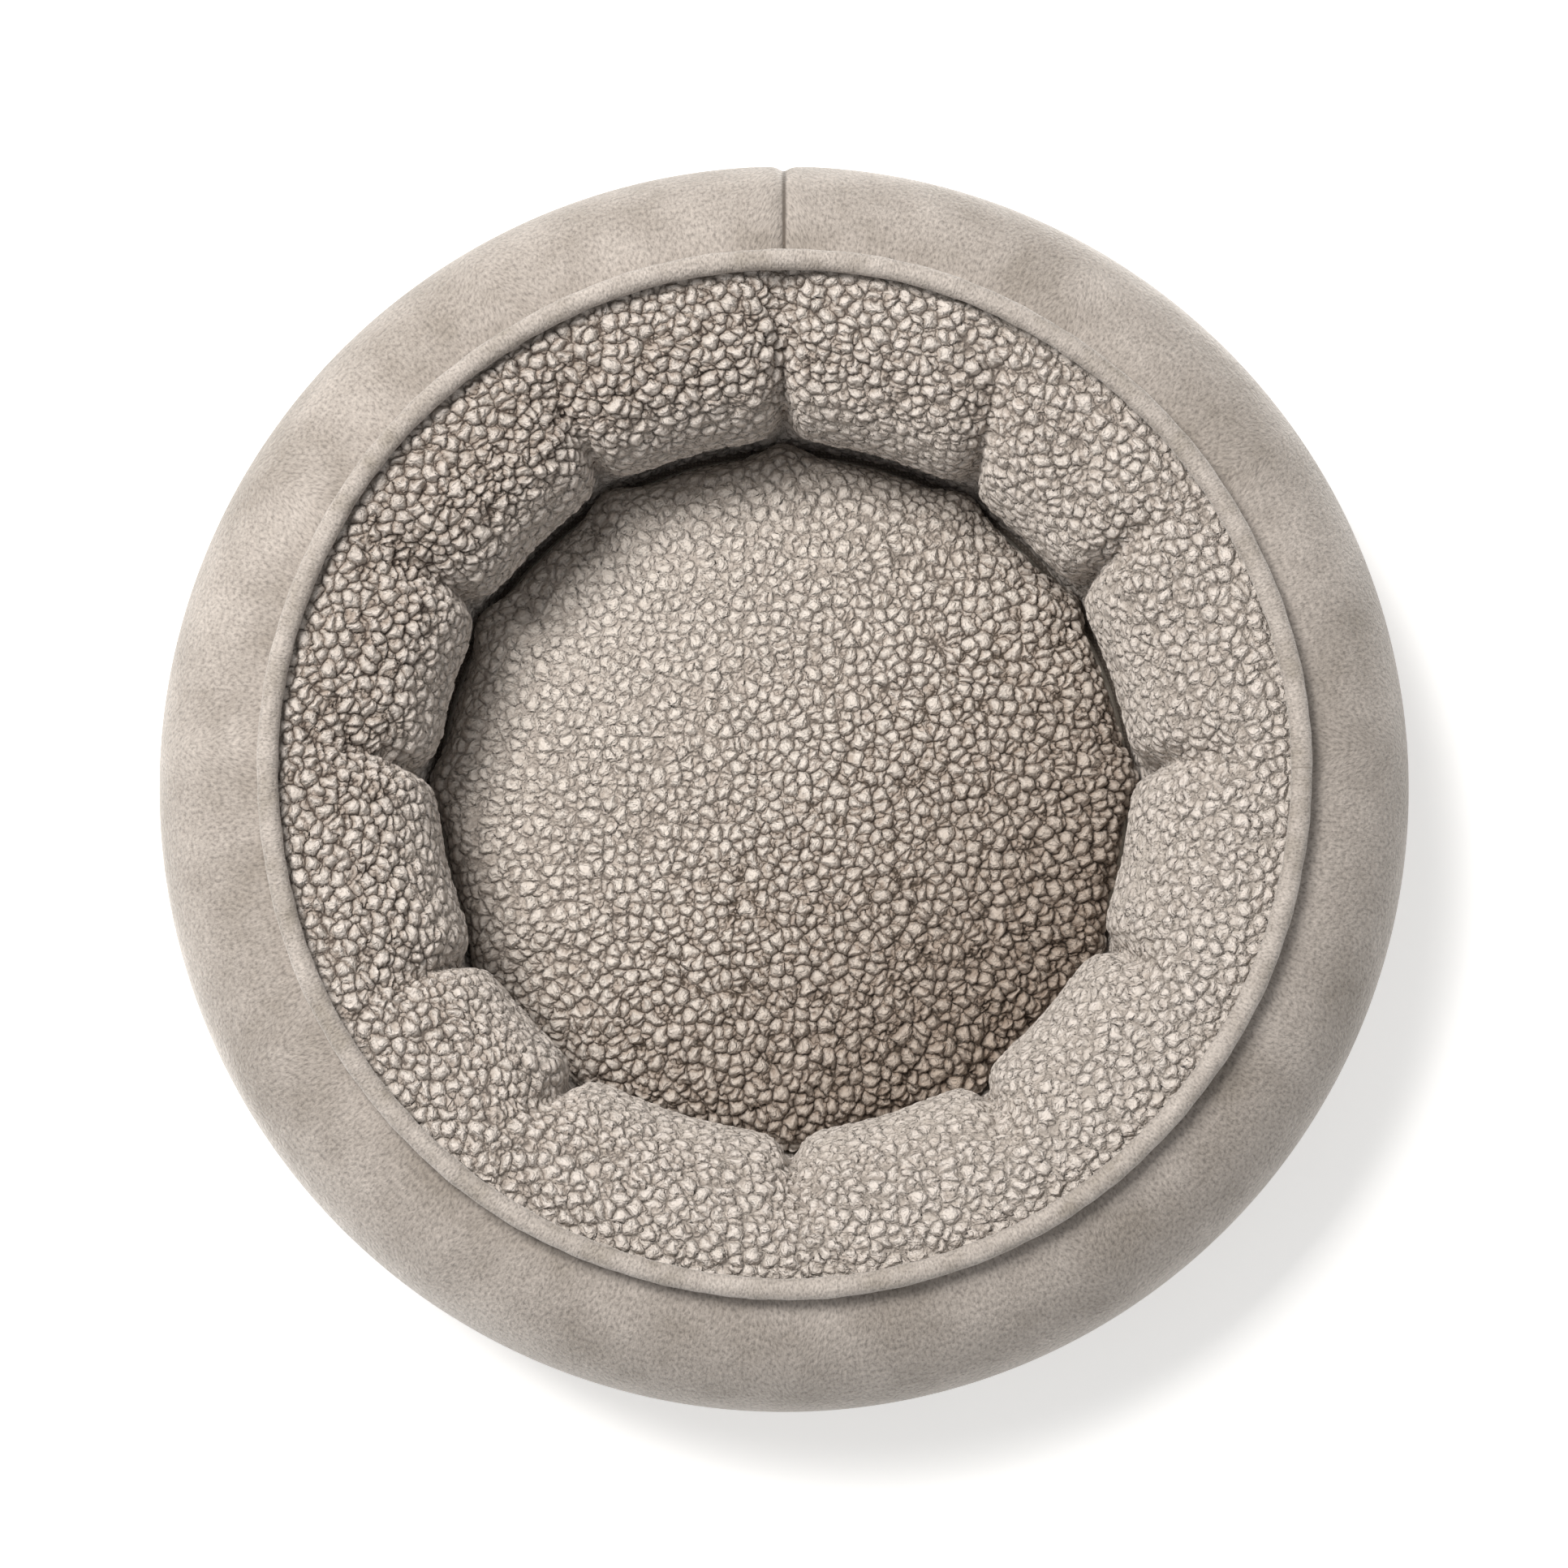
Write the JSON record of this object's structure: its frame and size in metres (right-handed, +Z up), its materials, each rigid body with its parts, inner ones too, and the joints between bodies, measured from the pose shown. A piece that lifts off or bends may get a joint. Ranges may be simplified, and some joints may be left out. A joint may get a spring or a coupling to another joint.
{
  "type": "pet cushion bed",
  "caption": "Round pet bed: a fibre-filled ring bolster in velvet with a piped edge and a tucked sherpa lining, round a loose crowned floor cushion that lifts out.",
  "frame": {"origin": "middle of the bed's footprint, on the surface that it stands on", "axes": "+Z up, out of the open well; +Y towards the back, where the closing seams of the cover and the lining lie"},
  "size_m": [0.6, 0.5999, 0.1568],
  "materials": {
    "velvet": "short-pile warm grey velvet, brushed nap",
    "piping_velvet": "the same velvet, pulled tight round a cord",
    "sherpa": "curly long-pile sherpa, warm grey",
    "cushion_sherpa": "curly sherpa in small cells, warm grey",
    "thread": "matte spun polyester thread",
    "cord": "white twisted filler cord",
    "fibre_fill": "white loose polyester fibre",
    "grip_cloth": "plain woven cloth with printed grip dots",
    "felt": "needled felt wadding",
    "plain_cloth": "plain woven polyester cloth"
  },
  "bodies": {
    "bolster": {"outer_cover": "velvet", "cover_seam_thread": "thread", "piping_cord": "cord", "piping_sleeve": "piping_velvet", "piping_seam_thread": "thread", "bolster_lining": "sherpa", "lining_seam_thread": "thread", "tuck_tacks": "thread", "bolster_fill": "fibre_fill", "base_panel": "grip_cloth", "base_seam_thread": "thread", "base_wadding": "felt", "well_floor": "plain_cloth", "well_seam_thread": "thread"},
    "floor_cushion": {"cushion_top": "cushion_sherpa", "cushion_base": "velvet", "cushion_fill": "fibre_fill", "cushion_seam_thread": "thread"}
  },
  "joints": [
    {"name": "cushion_lift", "type": "slide", "parent": "bolster", "child": "floor_cushion", "axis": [0, 0, 1], "range_m": [0, 0.18]}
  ]
}
